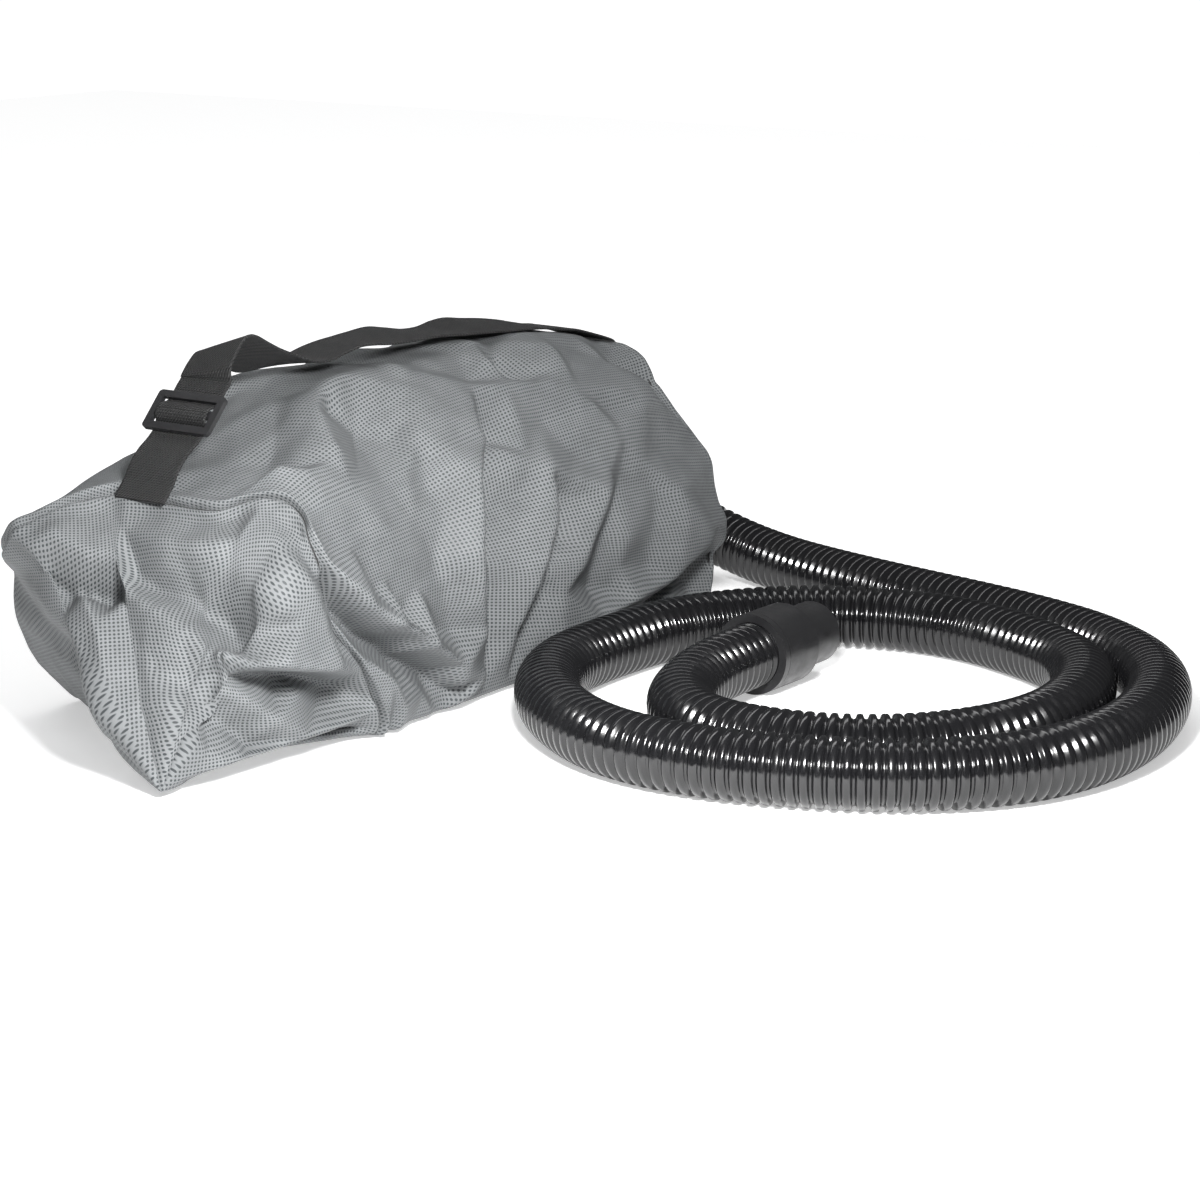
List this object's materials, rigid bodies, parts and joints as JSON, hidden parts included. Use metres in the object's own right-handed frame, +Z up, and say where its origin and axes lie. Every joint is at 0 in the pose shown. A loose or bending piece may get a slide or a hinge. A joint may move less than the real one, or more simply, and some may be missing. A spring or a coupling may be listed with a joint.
{
  "type": "dust collection bag with hose",
  "caption": "Soft duffel dust bag with a shoulder strap, buckle, side zip and a coiled corrugated suction hose ending in swivel cuffs.",
  "frame": {"origin": "middle of the bag's footprint on the floor, without the free hose and its cuffs", "axes": "+X along the bag towards its hose port, +Z up"},
  "size_m": [0.6502, 0.6234, 0.2319],
  "materials": {
    "bag_cloth": "grey non-woven cloth with an embossed dot lattice",
    "webbing": "black twill webbing",
    "zip_tape": "black woven zip tape",
    "zip_metal": "dark nickel zip runner",
    "zip_coil": "black nylon coil",
    "buckle_plastic": "black moulded plastic",
    "cuff_plastic": "satin black moulded plastic",
    "hose_plastic": "gloss black corrugated plastic",
    "seal_rubber": "soft black sealing rubber",
    "screw_steel": "zinc-plated steel"
  },
  "bodies": {
    "bag": {"near_end_panel": "bag_cloth", "far_end_panel": "bag_cloth", "front_panel": "bag_cloth", "top_panel": "bag_cloth", "rear_upper_panel": "bag_cloth", "rear_lower_panel": "bag_cloth", "base_panel": "bag_cloth", "zip_end_tab": "bag_cloth", "port_flange": "cuff_plastic", "port_gasket": "seal_rubber", "port_clamp_ring": "cuff_plastic", "port_screws": "screw_steel", "hose": "hose_plastic", "port_bush": "cuff_plastic", "port_snap_ring": "cuff_plastic", "tool_bush": "cuff_plastic", "tool_snap_ring": "cuff_plastic", "strap_webbing": "webbing", "strap_anchor": "webbing", "zip_tape_upper": "zip_tape", "zip_tape_lower": "zip_tape", "zip_coil_upper": "zip_coil", "zip_coil_lower": "zip_coil", "zip_stops": "zip_metal"},
    "buckle": {"strap_buckle": "buckle_plastic"},
    "zip_runner": {"zip_slider": "zip_metal"},
    "zip_tab": {"zip_pull": "zip_metal"},
    "port_swivel": {"port_cuff": "cuff_plastic"},
    "tool_swivel": {"tool_cuff": "cuff_plastic"}
  },
  "joints": [
    {"name": "port_cuff_turn", "type": "hinge", "parent": "bag", "child": "port_swivel", "pos_m": [0.265, 0.03, 0.062], "axis": [1, 0, 0], "continuous": true},
    {"name": "tool_cuff_turn", "type": "hinge", "parent": "bag", "child": "tool_swivel", "pos_m": [0.15, -0.228, 0.025], "axis": [1, 0, 0], "continuous": true},
    {"name": "buckle_tilt", "type": "hinge", "parent": "bag", "child": "buckle", "pos_m": [-0.15838, -0.012, 0.18182], "axis": [0, 1, 0], "range_deg": [-15, 15], "deforming": ["strap_webbing", "strap_anchor"]},
    {"name": "zip_run", "type": "slide", "parent": "bag", "child": "zip_runner", "axis": [-1, 0, 0], "range_m": [0, 0.27]},
    {"name": "zip_tab_turn", "type": "hinge", "parent": "zip_runner", "child": "zip_tab", "pos_m": [0.236, 0.1144, 0.08], "axis": [0, 0, -1], "range_deg": [0, 165]}
  ]
}
